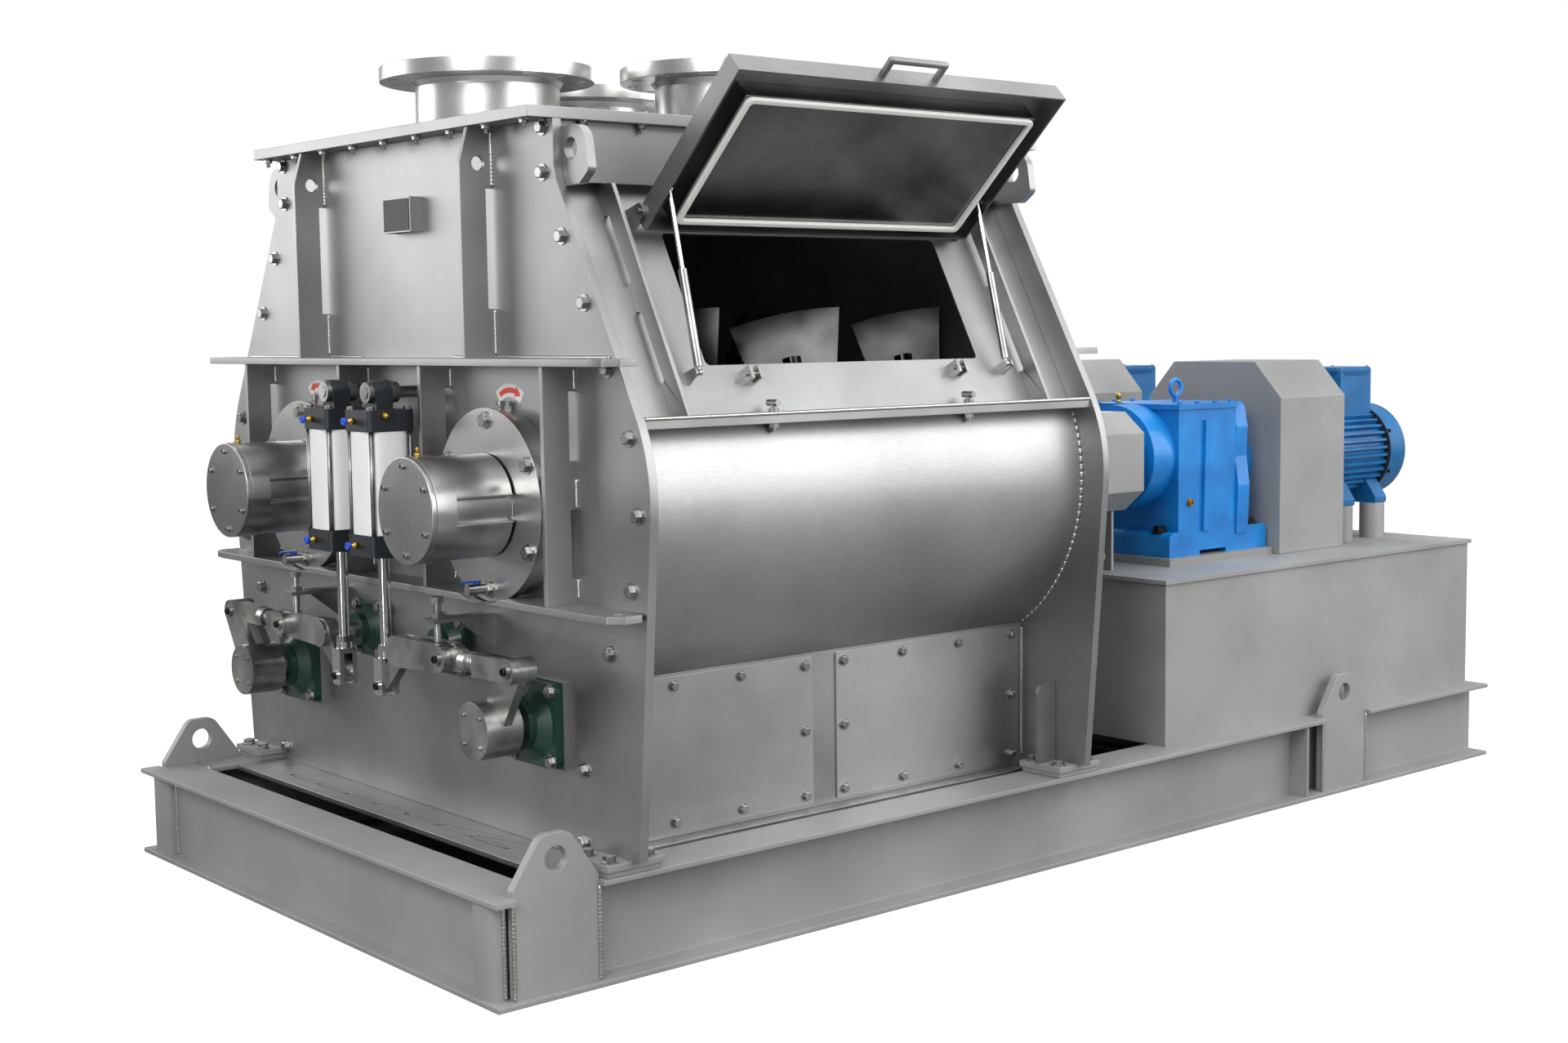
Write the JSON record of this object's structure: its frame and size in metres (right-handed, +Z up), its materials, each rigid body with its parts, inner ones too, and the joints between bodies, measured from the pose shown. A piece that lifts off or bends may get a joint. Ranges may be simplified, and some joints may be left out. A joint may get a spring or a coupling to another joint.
{
  "type": "fluidized zone mixer",
  "caption": "Fluidized zone mixer of stainless sheet on a skid: paddle rotors, bomb doors worked by toggle linkages, a hinged hatch, flanged inlets and gearmotor drives.",
  "frame": {"origin": "middle of the skid's underside", "axes": "+X along the rotor shafts from the discharge linkage to the drives, +Y away from the hatch side, +Z up"},
  "size_m": [3.397, 1.8683, 1.863],
  "materials": {
    "stainless": "fine bead blasted, satin",
    "machined_steel": "turned and milled, semi-bright",
    "grey_paint": "satin paint",
    "guard_sheet": "satin sheet",
    "bearing_green": "gloss paint on castings",
    "drive_blue": "semi-gloss paint",
    "cylinder_black": "black anodised",
    "handle_blue": "plastic dipped",
    "gasket_white": "matt sponge"
  },
  "bodies": {
    "base": {"skid_side_beams": "grey_paint", "skid_cross_beams": "grey_paint", "lifting_lugs": "grey_paint", "mounting_feet": "grey_paint", "front_end_plate": "stainless", "drive_end_plate": "stainless", "end_plate_stiffeners": "stainless", "trough_shell": "stainless", "upper_side_walls": "stainless", "side_panels": "stainless", "side_ledges": "stainless", "panel_fins": "stainless", "lower_housing": "stainless", "access_panels": "stainless", "discharge_flange": "stainless", "top_cover": "stainless", "inlet_nozzles": "stainless", "lifting_ears": "stainless", "nameplate": "stainless", "seal_flanges": "machined_steel", "bearing_housings": "machined_steel", "shaft_bearings": "machined_steel", "bearing_guards": "machined_steel", "flange_bearings": "bearing_green", "stop_brackets": "machined_steel", "cylinder_hangers": "machined_steel", "hatch_hardware": "machined_steel", "seal_valves": "machined_steel", "drive_box": "grey_paint", "gearboxes": "drive_blue", "coupling_guards": "guard_sheet", "belt_guards": "guard_sheet", "motors": "drive_blue"},
    "rotor_left": {"rotor_shaft_left": "machined_steel", "paddles_left": "machined_steel"},
    "door_left": {"door_leaf_left": "machined_steel", "door_lever_left": "machined_steel"},
    "bellcrank_left": {"bellcrank_left": "machined_steel"},
    "link_left": {"link_left": "machined_steel"},
    "air_cylinder_left": {"air_cylinder_left": "cylinder_black"},
    "piston_rod_left": {"piston_rod_left": "machined_steel"},
    "valve_handle_left": {"valve_handle_left": "handle_blue"},
    "rotor_right": {"rotor_shaft_right": "machined_steel", "paddles_right": "machined_steel"},
    "door_right": {"door_leaf_right": "machined_steel", "door_lever_right": "machined_steel"},
    "bellcrank_right": {"bellcrank_right": "machined_steel"},
    "link_right": {"link_right": "machined_steel"},
    "air_cylinder_right": {"air_cylinder_right": "cylinder_black"},
    "piston_rod_right": {"piston_rod_right": "machined_steel"},
    "valve_handle_right": {"valve_handle_right": "handle_blue"},
    "lid": {"lid_shell": "stainless", "lid_window": "stainless", "lid_gasket": "gasket_white"},
    "strut_tube_front": {"strut_tube_front": "cylinder_black"},
    "strut_rod_front": {"strut_rod_front": "machined_steel"},
    "clamp_screw_front": {"clamp_screw_front": "machined_steel"},
    "strut_tube_back": {"strut_tube_back": "cylinder_black"},
    "strut_rod_back": {"strut_rod_back": "machined_steel"},
    "clamp_screw_back": {"clamp_screw_back": "machined_steel"}
  },
  "joints": [
    {"name": "rotor_spin_right", "type": "hinge", "parent": "base", "child": "rotor_right", "pos_m": [-0.728, 0.41, 0.917], "axis": [1, 0, 0], "continuous": true},
    {"name": "rotor_spin_left", "type": "hinge", "parent": "base", "child": "rotor_left", "pos_m": [-0.728, -0.41, 0.917], "axis": [1, 0, 0], "continuous": true},
    {"name": "door_swing_right", "type": "hinge", "parent": "base", "child": "door_right", "pos_m": [-1.4, 0.52172, 0.47547], "axis": [1, 0, 0], "range_deg": [0, 65]},
    {"name": "bellcrank_swing_right", "type": "hinge", "parent": "base", "child": "bellcrank_right", "pos_m": [-1.5, 0.178, 0.597], "axis": [1, 0, 0], "range_deg": [-66, 0]},
    {"name": "link_swing_right", "type": "hinge", "parent": "bellcrank_right", "child": "link_right", "pos_m": [-1.512, 0.359, 0.601], "axis": [1, 0, 0], "range_deg": [0, 110]},
    {"name": "cylinder_swing_right", "type": "hinge", "parent": "base", "child": "air_cylinder_right", "pos_m": [-1.51, 0.095, 1.146], "axis": [1, 0, 0], "range_deg": [-5, 0]},
    {"name": "rod_stroke_right", "type": "slide", "parent": "air_cylinder_right", "child": "piston_rod_right", "axis": [0, 0, 1], "range_m": [0, 0.125]},
    {"name": "door_swing_left", "type": "hinge", "parent": "base", "child": "door_left", "pos_m": [-1.4, -0.52172, 0.47547], "axis": [-1, 0, 0], "range_deg": [0, 65]},
    {"name": "bellcrank_swing_left", "type": "hinge", "parent": "base", "child": "bellcrank_left", "pos_m": [-1.5, -0.178, 0.597], "axis": [-1, 0, 0], "range_deg": [-66, 0]},
    {"name": "link_swing_left", "type": "hinge", "parent": "bellcrank_left", "child": "link_left", "pos_m": [-1.512, -0.359, 0.601], "axis": [-1, 0, 0], "range_deg": [0, 110]},
    {"name": "cylinder_swing_left", "type": "hinge", "parent": "base", "child": "air_cylinder_left", "pos_m": [-1.51, -0.095, 1.146], "axis": [-1, 0, 0], "range_deg": [-5, 0]},
    {"name": "rod_stroke_left", "type": "slide", "parent": "air_cylinder_left", "child": "piston_rod_left", "axis": [0, 0, 1], "range_m": [0, 0.125]},
    {"name": "lid_hinge", "type": "hinge", "parent": "base", "child": "lid", "pos_m": [-0.72815, -0.62397, 1.51197], "axis": [1, 0, 0], "range_deg": [0, 105]},
    {"name": "strut_swing_front", "type": "hinge", "parent": "base", "child": "strut_tube_front", "pos_m": [-1.16815, -0.77999, 1.18595], "axis": [1, 0, 0], "range_deg": [-15, 0]},
    {"name": "strut_stroke_front", "type": "slide", "parent": "strut_tube_front", "child": "strut_rod_front", "axis": [0, -0.2353, -0.9719], "range_m": [0, 0.12]},
    {"name": "clamp_turn_front", "type": "hinge", "parent": "base", "child": "clamp_screw_front", "pos_m": [-1.00915, -0.818, 1.1], "axis": [0, 0, 1], "range_deg": [-90, 90]},
    {"name": "strut_swing_back", "type": "hinge", "parent": "base", "child": "strut_tube_back", "pos_m": [-0.28815, -0.77999, 1.18595], "axis": [1, 0, 0], "range_deg": [-15, 0]},
    {"name": "strut_stroke_back", "type": "slide", "parent": "strut_tube_back", "child": "strut_rod_back", "axis": [0, -0.2353, -0.9719], "range_m": [0, 0.12]},
    {"name": "clamp_turn_back", "type": "hinge", "parent": "base", "child": "clamp_screw_back", "pos_m": [-0.44715, -0.818, 1.1], "axis": [0, 0, 1], "range_deg": [-90, 90]},
    {"name": "valve_turn_right", "type": "hinge", "parent": "base", "child": "valve_handle_right", "pos_m": [-1.47, 0.41, 0.756], "axis": [0, 0, 1], "range_deg": [0, 90]},
    {"name": "valve_turn_left", "type": "hinge", "parent": "base", "child": "valve_handle_left", "pos_m": [-1.47, -0.41, 0.756], "axis": [0, 0, -1], "range_deg": [0, 90]}
  ],
  "couplings": [
    {"joint": "rotor_spin_left", "follows": "rotor_spin_right", "ratio": -1},
    {"joint": "bellcrank_swing_right", "follows": "door_swing_right", "ratio": -0.99079},
    {"joint": "link_swing_right", "follows": "door_swing_right", "ratio": 1.6664},
    {"joint": "cylinder_swing_right", "follows": "door_swing_right", "ratio": -0.052381},
    {"joint": "rod_stroke_right", "follows": "door_swing_right", "m_per_rad": 0.10824},
    {"joint": "bellcrank_swing_left", "follows": "door_swing_left", "ratio": -0.99079},
    {"joint": "link_swing_left", "follows": "door_swing_left", "ratio": 1.6664},
    {"joint": "cylinder_swing_left", "follows": "door_swing_left", "ratio": -0.052381},
    {"joint": "rod_stroke_left", "follows": "door_swing_left", "m_per_rad": 0.10824},
    {"joint": "strut_swing_front", "follows": "lid_hinge", "ratio": -0.13588},
    {"joint": "strut_stroke_front", "follows": "lid_hinge", "m_per_rad": 0.05211},
    {"joint": "strut_swing_back", "follows": "lid_hinge", "ratio": -0.13588},
    {"joint": "strut_stroke_back", "follows": "lid_hinge", "m_per_rad": 0.05211}
  ]
}
